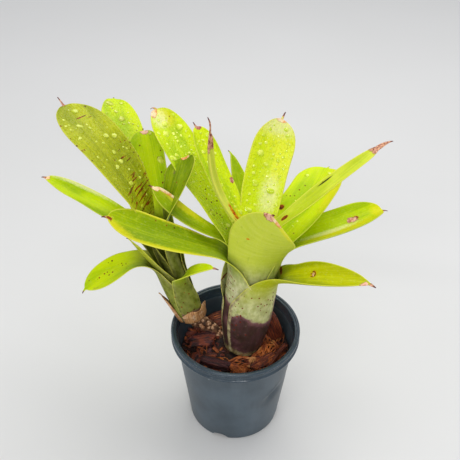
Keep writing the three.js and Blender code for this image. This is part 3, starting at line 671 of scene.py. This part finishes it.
def add_dew(name, leaf, surface, material, seed):
    """Water drops scattered over the upper face of a leaf's blade."""
    points, normal, t, half, rows = surface
    rng = np.random.default_rng(seed)
    drops = []
    taken = []
    while len(drops) < leaf["drops"]:
        u = rng.beta(1.6, 1.2) * 0.82 + 0.14
        over = rng.uniform(-0.78, 0.78)
        reach = rng.choice(DROP_RADII, p=DROP_SHARES)
        row = int(np.argmin(np.abs(rows - leaf["sheath"] - u * leaf["length"])))
        column = int(np.argmin(np.abs(t - over)))
        spot = points[row, column]
        clear = all(np.linalg.norm(spot - other) > reach + radius + 1 for other, radius in taken)
        if not clear or half[row] * (1 - abs(over)) < reach + 1:
            taken.append((spot, -99))
            if len(taken) > DROP_TRIES:
                break
            continue
        taken.append((spot, reach))
        flatness, stretch, shape = rng.uniform(0.26, 0.42), rng.uniform(0.9, 1.5), rng.uniform(0, 6)
        drops.append(drop_body(spot, normal[row, column], reach, flatness, stretch, shape))
    piece = make_object(name + "_dew", *joined(drops), material)
    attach(piece, "root")


def build_rosette(rosette, entries, water):
    number = 0
    for layer, entry in enumerate(entries):
        leaf = {**USUAL, **dict(zip(GROWTH, entry)), **entry[len(GROWTH)]}
        if "node" not in leaf:
            number += 1
        node = leaf.get("node", f"{rosette['name']}_leaf_{number:02d}")
        piece, surface = build_leaf(rosette, leaf, layer, node)
        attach(piece, "root")
        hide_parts(node)
        if leaf["drops"]:
            add_dew(node, leaf, surface, water, 300 + layer + (0 if rosette is MAIN else 40))


# ---- pot ----
def pot_material():
    g = Graph("pot_plastic")
    place = g.place()
    height_up = g.split(place)[2]
    cloudy = g.noise(place, 28, 4, 0.55)
    fine = g.noise(place, 900, 3, 0.6)
    streaks = g.noise(g.stretch(place, (60, 60, 6)), 1, 3)
    distance, own = g.cells(place, 130)
    colour = g.tones(cloudy, 0.35, 0.68, "36434C", "485660")
    colour = g.patch(colour, streaks, (0.55, 0.75), 0.3, "5B6871")
    speck = g.times(g.ramp(distance, 0.16, 0.08), g.ramp(own, 0.9, 0.92))
    colour = g.mix(g.times(speck, 0.6), colour, tint("8C959A"))
    inside_shade = g.attribute("inside_shade")
    on_rim = g.ramp(height_up, 0.1005, 0.1025)
    colour = g.mix(g.times(on_rim, 0.45), colour, tint("1C303E"))
    scratches = g.noise(g.stretch(place, (150, 150, 900)), 1, 4, 0.7)
    scuffs = g.times(on_rim, g.ramp(scratches, 0.57, 0.66))
    colour = g.mix(g.times(scuffs, 0.2), colour, tint("8C9AA3"))
    # painted shade: the inside of the pot is darkened towards near black, for the shade in its hollow
    colour = g.mix(g.times(g.split(inside_shade)[0], 0.7), colour, tint("141A20"))
    roughness = g.plus(g.times(cloudy, 0.2), g.plus(g.times(fine, 0.1), 0.26))
    roughness = g.minus(roughness, g.times(on_rim, 0.26))
    height = g.plus(g.times(fine, 0.35), cloudy)
    return g.finish(colour, roughness, height, 0.0003, 0.4, IOR=1.5)


def arc(cx, cy, radius, start, stop, count):
    angles = np.radians(np.linspace(start, stop, count + 1))
    return [(cx + radius * math.cos(a), cy + radius * math.sin(a)) for a in angles]


def pot_profile():
    """Half section of the pot from the middle of its underside round to the middle of its floor."""
    top, under = POT_HEIGHT, POT_HEIGHT - RIM_BAND
    corner = POT_CORNER_RADIUS
    wall_foot = (POT_BASE_RADIUS, corner)
    wall = [
        (blend(wall_foot[0], WALL_TOP_RADIUS, k), blend(wall_foot[1], under - 0.8, k))
        for k in np.linspace(0.03, 1, 44)
    ]
    inside = [(x - WALL, z) for x, z in reversed(wall)]
    return [
        *[(x, 0.0) for x in np.linspace(0, POT_BASE_RADIUS - corner, 8)[:-1]],
        *arc(POT_BASE_RADIUS - corner, corner, corner, -90, -6, 8),
        *wall,
        (WALL_TOP_RADIUS + 1.2, under - 0.1),
        *arc(RIM_RADIUS - 1.5, under + 1.5, 1.5, -80, 62, 8),
        (RIM_RADIUS - 1.25, under + 3.6),
        (RIM_RADIUS - 1.25, top - 4.4),
        *arc(RIM_RADIUS - 1.9, top - 1.9, 1.9, -48, 118, 11),
        *arc(RIM_RADIUS - 3.6, top - 2.3, 1.3, 70, 190, 5),
        (WALL_TOP_RADIUS - 0.6, top - 6.5),
        (WALL_TOP_RADIUS - 1.3, under - 0.4),
        *inside,
        *arc(POT_BASE_RADIUS - corner, corner + 0.6, corner - WALL, -6, -90, 6),
        *[(x, FLOOR) for x in np.linspace(POT_BASE_RADIUS - corner, 0, 6)[1:]],
    ]


def dented(points):
    """Pushes in the shallow dents and creases of a much handled wall."""
    radius = np.hypot(points[:, 0], points[:, 1])
    angle = np.degrees(np.arctan2(points[:, 1], points[:, 0]))
    z = points[:, 2]
    on_wall = (radius > 40) & (z < 100) & (z > 8)
    push = 0.35 * ripple(5, angle / 18, z / 26)
    along, over = (angle + 44) / 11 + (z - 58) / 26, (z - 58) / 6 - (angle + 44) / 16
    push = push - 2.6 * np.exp(-along ** 2 - over ** 2)
    push = push + 1.3 * np.exp(-(along / 0.8) ** 2 - ((over - 1.3) / 0.4) ** 2)
    push = push - 1.8 * np.exp(-((angle + 14) / 4) ** 2 - ((z - 64) / 4) ** 2)
    push = push * on_wall * smooth(z, 8, 20) * (1 - smooth(z, 84, 98))
    moved = points.copy()
    moved[:, :2] *= (1 + push / np.maximum(radius, 1))[:, None]
    return moved


def build_pot():
    sides = POT_SIDES
    profile = pot_profile()
    points = [(0.0, 0.0, profile[0][1])]
    for x, z in profile[1:-1]:
        for i in range(sides):
            angle = 2 * math.pi * i / sides
            points.append((x * math.cos(angle), x * math.sin(angle), z))
    points.append((0.0, 0.0, profile[-1][1]))
    rings = len(profile) - 2
    at = lambda ring, i: 1 + ring * sides + i % sides
    faces = [(0, at(0, i + 1), at(0, i)) for i in range(sides)]
    for ring in range(rings - 1):
        for i in range(sides):
            faces.append((at(ring, i), at(ring, i + 1), at(ring + 1, i + 1), at(ring + 1, i)))
    faces.extend((at(rings - 1, i), at(rings - 1, i + 1), len(points) - 1) for i in range(sides))
    pot = make_object("pot_look", dented(np.array(points)), faces, pot_material())
    bare = np.array(points)
    reach = np.hypot(bare[:, 0], bare[:, 1])
    outer = blend(POT_BASE_RADIUS, WALL_TOP_RADIUS, bare[:, 2] / (POT_HEIGHT - RIM_BAND))
    # the points inside the pot, where the shade in its hollow is painted
    shaded_lining = (reach < outer - WALL / 2) & (bare[:, 2] > FLOOR / 2)
    give(pot, "inside_shade", np.stack([shaded_lining, 0 * reach, 0 * reach], axis=1).astype(float))
    cutters = [drain_cutter(index) for index in range(DRAIN_COUNT)]
    for cutter in cutters:
        cut = pot.modifiers.new("drain", "BOOLEAN")
        cut.operation = "DIFFERENCE"
        cut.object = cutter
        cut.solver = "EXACT"
    shape = bpy.data.meshes.new_from_object(pot.evaluated_get(bpy.context.evaluated_depsgraph_get()))
    pot.modifiers.clear()
    pot.data = shape
    pot.data.shade_smooth()
    pot.data.set_sharp_from_angle(angle=math.radians(50))
    for cutter in cutters:
        bpy.data.objects.remove(cutter)
    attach(pot, "root")
    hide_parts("pot")


def drain_cutter(index):
    """A flattened bar that cuts one arch through the foot of the wall."""
    sides, near, far = 32, POT_BASE_RADIUS - 6, POT_BASE_RADIUS + 8
    turn = math.radians(DRAIN_FIRST_ANGLE + 360 / DRAIN_COUNT * index)
    out, side = np.array([math.cos(turn), math.sin(turn), 0]), np.array([-math.sin(turn), math.cos(turn), 0])
    points = []
    for reach in (near, far):
        for i in range(sides):
            angle = 2 * math.pi * i / sides
            points.append(out * reach + side * DRAIN_RADIUS * math.cos(angle)
                          + np.array([0, 0, DRAIN_RADIUS * DRAIN_FLATTEN * math.sin(angle)]))
    faces = [(i, (i + 1) % sides, sides + (i + 1) % sides, sides + i) for i in range(sides)]
    faces.append(tuple(reversed(range(sides))))
    faces.append(tuple(range(sides, 2 * sides)))
    return make_object(f"drain_cutter_{index}", points, faces, bpy.data.materials["pot_plastic"])


# ---- bark and mix ----
def bark_material(name, dark, middle, light, orange):
    """Split bark: long fibres, darker cork on the flat faces, and orange where it is freshly torn."""
    g = Graph(name)
    grain = g.attribute("grain")
    fibre = g.noise(g.stretch(grain, (0.06, 1.1, 1.1)), 1, 6, 0.68)
    coarse = g.noise(g.stretch(grain, (0.05, 0.4, 0.4)), 1, 3)
    lumps = g.noise(g.stretch(grain, (0.12, 0.2, 0.2)), 1, 4)
    own = g.split(g.attribute("piece"))[0]
    colour = g.mix(g.ramp(fibre, 0.36, 0.6), tint(dark), tint(middle))
    colour = g.mix(g.times(g.ramp(fibre, 0.55, 0.68), 0.85), colour, tint(light))
    colour = g.patch(colour, coarse, (0.46, 0.34), 0.8, "22100D")
    torn = g.ramp(g.plus(lumps, g.times(g.minus(own, 0.5), 0.5)), 0.5, 0.62)
    colour = g.mix(g.times(torn, 0.8), colour, g.mix(g.ramp(fibre, 0.38, 0.62), tint("6A2812"), tint(orange)))
    colour = g.patch(colour, lumps, (0.4, 0.28), 0.8, "1A0D0B")
    roughness = g.plus(g.times(fibre, 0.25), 0.36)
    return g.finish(colour, roughness, g.plus(fibre, g.plus(coarse, lumps)), 0.0014, 1.0)


def mix_material():
    g = Graph("mix_bed")
    place = g.place()
    crumbs = g.noise(place, 340, 5, 0.7)
    patches = g.noise(place, 70, 4)
    colour = g.tones(crumbs, 0.38, 0.62, "140B0A", "3E2118")
    colour = g.patch(colour, patches, (0.52, 0.7), 0.6, "5A2C1A")
    colour = g.mix(g.ramp(crumbs, 0.64, 0.74), colour, tint("7B4A2C"))
    return g.finish(colour, g.plus(g.times(crumbs, 0.2), 0.6), crumbs, 0.0015, 1.0)


def slab(seed, length, width, thickness, cuts=(12, 6, 3)):
    """A split chip about its own middle, long in x, with an uneven outline and torn fibrous ends."""
    nx, ny, nz = cuts
    grid = {}
    points, faces = [], []

    def corner(i, j, k):
        if (i, j, k) not in grid:
            grid[(i, j, k)] = len(points)
            points.append((2 * i / nx - 1, 2 * j / ny - 1, 2 * k / nz - 1))
        return grid[(i, j, k)]

    for fixed, flips in ((2, (-1, 1)), (1, (1, -1)), (0, (-1, 1))):
        first, second = [axis for axis in range(3) if axis != fixed]
        for level, flip in zip((0, cuts[fixed]), flips):
            for a in range(cuts[first]):
                for b in range(cuts[second]):
                    quad = []
                    for step_a, step_b in ((0, 0), (1, 0), (1, 1), (0, 1)):
                        place = [level, level, level]
                        place[first], place[second] = a + step_a, b + step_b
                        quad.append(corner(*place))
                    faces.append(quad[::flip])
    x, y, z = np.array(points).T
    rng = np.random.default_rng(seed)
    strand = np.round((y + 1) * ny / 2).astype(int)
    fibre_end = rng.uniform(-0.2, 0.12, (2, ny + 1))
    ends = 1 - 0.1 * np.abs(y) ** 3 + fibre_end[(x > 0).astype(int), strand] * smooth(np.abs(x), 0.55, 1)
    sides = 1 - 0.22 * np.abs(x) ** 3 + 0.2 * ripple(seed + 1, x * 3.1, z * 0.8, waves=5)
    split = rng.uniform(-0.16, 0.12, ny + 1)[strand]
    depth = 1 - 0.3 * np.abs(y) ** 4 - 0.35 * np.abs(x) ** 4
    depth = depth + 0.2 * ripple(seed + 2, x * 3, y * 4, waves=6) + split
    skew = 0.18 * math.sin(seed * 1.7) * y * width / 2
    shaped = np.stack([x * ends * length / 2 + skew, y * sides * width / 2, z * depth * thickness / 2], 1)
    shaped[:, 2] += 0.06 * length * (x ** 2 - 0.4) * math.sin(seed)
    return shaped, faces


def turned(yaw, pitch, roll):
    """Rotation by roll about x, then pitch about y, then yaw about z, in degrees."""
    spin = Matrix.Rotation(math.radians(yaw), 3, "Z") @ Matrix.Rotation(math.radians(pitch), 3, "Y")
    return np.array(spin @ Matrix.Rotation(math.radians(roll), 3, "X"))


GOLDEN_RATIO = 0.618  # spreads the chips' own tones evenly


def bark_piece(name, chips, material):
    """One object of placed chips, with each chip's own grain.

    A chip is (points, faces, turn, place, number).
    """
    bodies = [(points @ turn.T + np.array(place), faces) for points, faces, turn, place, _ in chips]
    piece = make_object(name, *joined(bodies), material)
    give(piece, "grain", np.vstack([points + 37.0 * number for points, _, _, _, number in chips]))
    own = [np.full((len(points), 3), (number * GOLDEN_RATIO) % 1) for points, _, _, _, number in chips]
    give(piece, "piece", np.vstack(own))
    piece.data.set_sharp_from_angle(angle=math.radians(32))
    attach(piece, "root")
    return piece


# Large chips as the CAD places them: middle, size and roll, pitch and yaw.
CHIPS = [
    ((36, 8, 102), (44, 13, 4), (78, 72, 8)),
    ((-32, 5, 87.5), (24, 20, 6), (4, -4, 6)),
    ((-18, -23, 86.5), (28, 10, 6), (-6, 3, -16)),
    ((3, -30, 86), (16, 9, 5), (8, 5, -24)),
    ((26, -22, 87.5), (26, 9, 4), (10, -6, 34)),
    ((39, -14, 88.5), (30, 6, 4), (-12, -10, 52)),
    ((-36, -18, 86), (15, 11, 5), (6, 8, 70)),
    ((-14, 34, 87), (26, 15, 6), (8, -5, 22)),
    ((14, 38, 87), (22, 13, 5), (-6, 9, -30)),
    ((31, 25, 87.5), (20, 12, 5), (5, 6, 64)),
]


def wall_inside(z):
    return blend(POT_BASE_RADIUS, WALL_TOP_RADIUS, z / (POT_HEIGHT - RIM_BAND)) - WALL


def mix_level(x, y):
    """Height of the bed of mix: lumpy, and a little higher round the main rosette's foot."""
    lumps = 1.6 * np.sin(x * 0.21 + 1) * np.cos(y * 0.18) + 1.1 * np.sin(y * 0.37 + x * 0.11)
    to_stem = np.hypot(x - MAIN["foot"][0], y - MAIN["foot"][1])
    return blend(MIX_TOP + 1, MIX_TOP + lumps - 3, smooth(to_stem, 20, 30))


def build_bed():
    """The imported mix: one closed body with a crumbly top."""
    sides, rings = BED_SIDES, BED_RINGS
    reach = wall_inside(MIX_TOP - 4) - 0.5
    points = [(0.0, 0.0, 0.0)]
    for k in range(1, rings + 1):
        for i in range(sides):
            angle = 2 * math.pi * i / sides
            points.append((reach * k / rings * math.cos(angle), reach * k / rings * math.sin(angle), 0.0))
    top = np.array(points)
    top[:, 2] = mix_level(top[:, 0], top[:, 1]) - 2.2
    top[:, 2] += 1.1 * rough(21, top * np.array([1, 1, 0.2]), 9)
    to_stem = np.hypot(top[:, 0] - MAIN["foot"][0], top[:, 1] - MAIN["foot"][1])
    top[:, 2] -= 3 * (1 - smooth(to_stem, 12, 19))
    lower = []
    above_corner = (POT_BASE_RADIUS - WALL - 1.2, POT_CORNER_RADIUS + 2)
    on_floor = (POT_BASE_RADIUS - POT_CORNER_RADIUS - 1, FLOOR + 0.3)
    for radius, z in (above_corner, on_floor):
        for i in range(sides):
            angle = 2 * math.pi * i / sides
            lower.append((radius * math.cos(angle), radius * math.sin(angle), z))
    everything = np.vstack([top, np.array(lower), [(0, 0, FLOOR + 0.3)]])
    at = lambda ring, i: 1 + (ring - 1) * sides + i % sides
    faces = [(0, at(1, i), at(1, i + 1)) for i in range(sides)]
    for ring in range(1, rings + 2):
        for i in range(sides):
            faces.append((at(ring, i), at(ring + 1, i), at(ring + 1, i + 1), at(ring, i + 1)))
    faces.extend((at(rings + 2, i), len(everything) - 1, at(rings + 2, i + 1)) for i in range(sides))
    bed = make_object("mix_bed", everything, faces, mix_material())
    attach(bed, "root")
    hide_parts("potting_mix")


def clear_of_stem(x, y, margin):
    return math.hypot(x - MAIN["foot"][0], y - MAIN["foot"][1]) > margin


def build_chips():
    """The ten large chips, and the small ones and crumbs between them."""
    red = bark_material("bark_red", "3E1A14", "82381E", "C0703C", "D8742C")
    purple = bark_material("bark_purple", "281216", "5C2A2C", "9A6258", "A85030")
    for index, (place, size, (roll, pitch, yaw)) in enumerate(CHIPS):
        name = f"bark_chip_{index + 1:02d}"
        points, faces = slab(index + 11, *size, cuts=(20, 13, 3))
        material = purple if index in (1, 2, 6) else red
        chip = (points, faces, turned(yaw, pitch, roll), place, index)
        piece = bark_piece(name + "_look", [chip], material)
        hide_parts(name)
    rng = np.random.default_rng(4)
    groups = {"red": [], "purple": []}
    first_number = 20
    number = first_number
    while number < first_number + LOOSE_CHIPS:
        radius, angle = 50 * math.sqrt(rng.uniform()), rng.uniform(0, 2 * math.pi)
        x, y = radius * math.cos(angle), radius * math.sin(angle)
        length = rng.choice([4.0, 7.0, 11.0, 15.0], p=[0.35, 0.35, 0.2, 0.1])
        if not clear_of_stem(x, y, 19 + length / 2) or radius + length / 2 > 51:
            length = 4.0
            if not clear_of_stem(x, y, 20) or radius > 48:
                continue
        splinter = rng.uniform() < 0.5
        size = (length, length * (rng.uniform(0.12, 0.25) if splinter else rng.uniform(0.35, 0.7)),
                length * rng.uniform(0.08, 0.2) + 0.7)
        z = float(mix_level(x, y)) - 1.2 + rng.uniform(-0.6, 1.4)
        along_wall = math.degrees(angle) + 90 + rng.normal(0, 35)
        turn = turned(along_wall if splinter else rng.uniform(0, 360), rng.normal(0, 12), rng.normal(0, 25))
        points, faces = slab(number, *size, cuts=(6, 5, 2))
        groups["red" if rng.uniform() < 0.55 else "purple"].append((points, faces, turn, (x, y, z), number))
        number += 1
    bark_piece("loose_bark_red", groups["red"], red)
    bark_piece("loose_bark_purple", groups["purple"], purple)


def tube(path, radii, sides=6):
    """A closed tapering tube along a path of points."""
    path = np.asarray(path, float)
    tangent = np.gradient(path, axis=0)
    tangent /= np.linalg.norm(tangent, axis=1)[:, None]
    side = np.cross(tangent, (0.31, 0.17, 0.93))
    side /= np.linalg.norm(side, axis=1)[:, None]
    other = np.cross(tangent, side)
    points = []
    for i in range(len(path)):
        for k in range(sides):
            angle = 2 * math.pi * k / sides
            points.append(path[i] + radii[i] * (side[i] * math.cos(angle) + other[i] * math.sin(angle)))
    faces = []
    for i in range(len(path) - 1):
        for k in range(sides):
            a, b = i * sides + k, i * sides + (k + 1) % sides
            faces.append((a, b, b + sides, a + sides))
    faces.append(tuple(reversed(range(sides))))
    faces.append(tuple(range((len(path) - 1) * sides, len(path) * sides)))
    return np.array(points), faces


def fibre_material():
    g = Graph("coir_fibre")
    place = g.place()
    tone = g.noise(place, 120, 4)
    colour = g.tones(tone, 0.35, 0.65, "7A3414", "C86E2C")
    colour = g.patch(colour, g.noise(place, 60, 2), (0.6, 0.68), 0.5, "C79A60")
    return g.finish(colour, g.plus(g.times(tone, 0.2), 0.5), tone, 0.0003, 0.8)


def build_fibres():
    """Coir and bark shreds that lie loosely on the mix, thickest at the front and the right."""
    rng = np.random.default_rng(9)
    strands = []
    while len(strands) < FIBRES:
        angle = rng.normal(-0.9, 0.8) if len(strands) < FRONT_FIBRES else rng.uniform(0, 2 * math.pi)
        radius = rng.uniform(20, 47)
        x, y = radius * math.cos(angle), radius * math.sin(angle)
        heading = angle + math.pi / 2 + rng.normal(0, 0.9)
        length = rng.uniform(7, 30)
        bend = rng.normal(0, 0.035)
        steps = 14
        path = []
        for i in range(steps):
            rise = 1.6 * math.sin(math.pi * i / (steps - 1)) * rng.uniform(0.8, 1.1)
            path.append((x, y, float(mix_level(x, y)) + 0.9 + rise))
            heading += bend * length / steps
            x += math.cos(heading) * length / steps
            y += math.sin(heading) * length / steps
        path = np.array(path)
        reach = np.hypot(path[:, 0], path[:, 1])
        to_stem = np.hypot(path[:, 0] - MAIN["foot"][0], path[:, 1] - MAIN["foot"][1])
        if reach.max() > 51 or to_stem.min() < 17:
            continue
        width = rng.choice([0.25, 0.45, 0.95])
        radii = width * (0.35 + 0.65 * np.sin(np.linspace(0.15, math.pi - 0.1, steps)))
        strands.append(tube(path, radii, 5))
    piece = make_object("coir_fibres", *joined(strands), fibre_material())
    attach(piece, "root")


# ---- runner, roots and stems ----
def wood_material(name, dark, middle, light):
    g = Graph(name)
    place = g.place()
    fibre = g.noise(g.stretch(place, (260, 260, 90)), 1, 5, 0.62)
    patches = g.noise(place, 110, 4)
    colour = g.mix(g.ramp(fibre, 0.36, 0.62), tint(dark), tint(middle))
    colour = g.mix(g.times(g.ramp(patches, 0.5, 0.66), 0.75), colour, tint(light))
    roughness = g.plus(g.times(fibre, 0.25), 0.55)
    return g.finish(colour, roughness, g.plus(fibre, patches), 0.0009, 0.9)


def refined_copy(node, name, cuts, height, size, material):
    """A finer, uneven copy of a CAD node's own mesh."""
    body = bmesh.new()
    body.from_mesh(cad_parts[node].data)
    bmesh.ops.remove_doubles(body, verts=body.verts, dist=1e-6)
    bmesh.ops.subdivide_edges(body, edges=body.edges, cuts=cuts, use_grid_fill=True, smooth=0.4)
    body.normal_update()
    points = np.array([v.co for v in body.verts]) / MM
    normals = np.array([v.normal for v in body.verts])
    moved = points + normals * (height * rough(31, points, size))[:, None]
    faces = [[v.index for v in face.verts] for face in body.faces]
    body.free()
    return make_object(name, moved, faces, material)


def build_runner():
    wood = wood_material("runner_wood", "402818", "7C5236", "B48A62")
    runner = refined_copy("runner", "runner_look", 2, 0.7, 6, wood)
    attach(runner, "root")
    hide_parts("runner")
    nubs = wood_material("root_nub", "B07850", "E2B48C", "F6DABA")
    rng = np.random.default_rng(12)
    route = np.array(NUB_ROUTE, float)
    bodies = []
    for index in range(ROOT_NUBS):
        k = rng.uniform(0.1, 3.9)
        low = min(int(k), len(route) - 2)
        centre = blend(route[low], route[low + 1], k - low)
        out = np.array([rng.uniform(-0.2, 0.8), rng.uniform(-1.0, 0.4), rng.uniform(-0.3, 1.0)])
        out /= np.linalg.norm(out)
        reach = rng.uniform(1.4, 3.0)
        start = centre + out * 4.6
        path = []
        for step in (0, 0.3, 0.6, 0.85, 1.0):
            path.append(start + out * reach * step + 0.3 * ripple(index, np.array([step * 2.0])))
        width = rng.uniform(1.2, 2.0)
        bodies.append(tube(path, [width * 0.8, width, width * 1.05, width * 0.85, width * 0.4], 10))
    piece = make_object("root_nubs", *joined(bodies), nubs)
    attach(piece, "root")


def dress_stems():
    """The stems stay as the CAD made them, out of sight inside the sheaths."""
    wood = wood_material("stem_wood", "6A5A30", "98884C", "B9AE78")
    for node in ("main_stem", "offset_stem"):
        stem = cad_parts[node]
        stem.data.materials.clear()
        stem.data.materials.append(wood)


# ---- stage ----
def floor_material():
    g = Graph("floor_paint")
    soft = g.noise(g.place(), 3, 2)
    colour = g.mix(soft, tint("DAD9D6"), tint("DFDEDC"))
    return g.finish(colour, g.plus(g.times(soft, 0.1), 0.6))


def build_stage():
    half = FLOOR_REACH
    corners = [(-half, -half, 0), (half, -half, 0), (half, half, 0), (-half, half, 0)]
    make_object("floor", corners, [(0, 1, 2, 3)], floor_material())
    world = bpy.data.worlds.new("studio")
    world.use_nodes = True
    world.node_tree.nodes["Background"].inputs["Color"].default_value = (0.86, 0.88, 0.92, 1)
    world.node_tree.nodes["Background"].inputs["Strength"].default_value = 0.72
    bpy.context.scene.world = world
    add_light("key_light", (0.2, 0.5, 1.3), 0.9, 8, 0.9)
    add_light("fill_light", (-0.2, -1.05, 1.0), 1.3, 6.5, 0.09)


def add_light(name, place, width, power, depth):
    data = bpy.data.lights.new(name, "AREA")
    data.shape = "RECTANGLE"
    data.size = width
    data.size_y = depth
    data.energy = power
    light = bpy.data.objects.new(name, data)
    light.location = place
    target = Vector((0, 0, 0.12))
    light.rotation_euler = (target - light.location).to_track_quat("-Z", "Y").to_euler()
    bpy.context.scene.collection.objects.link(light)


def build_camera():
    """In front of the plant and above it, looking down along +Y."""
    place, pitch, roll = (-6.14, -459.82, 581.35), 37.8, 0.67
    data = bpy.data.cameras.new("camera")
    data.sensor_width = 36
    data.lens = 54.8
    camera = bpy.data.objects.new("camera", data)
    turn = Matrix.Rotation(math.radians(90 - pitch), 4, "X") @ Matrix.Rotation(math.radians(roll), 4, "Z")
    camera.matrix_world = Matrix.Translation(Vector(place) * MM) @ turn
    bpy.context.scene.collection.objects.link(camera)
    bpy.context.scene.camera = camera


build_camera()
build_stage()
build_pot()
build_bed()
build_chips()
build_fibres()
build_runner()
dress_stems()
build_rosette(MAIN, MAIN_LEAVES, water_material("dew_bright", "EAF26A", "C8DC20"))
build_rosette(OFFSET, OFFSET_LEAVES, water_material("dew_dull", "D8E060", "B6C228"))
bpy.context.scene.view_settings.view_transform = "Standard"
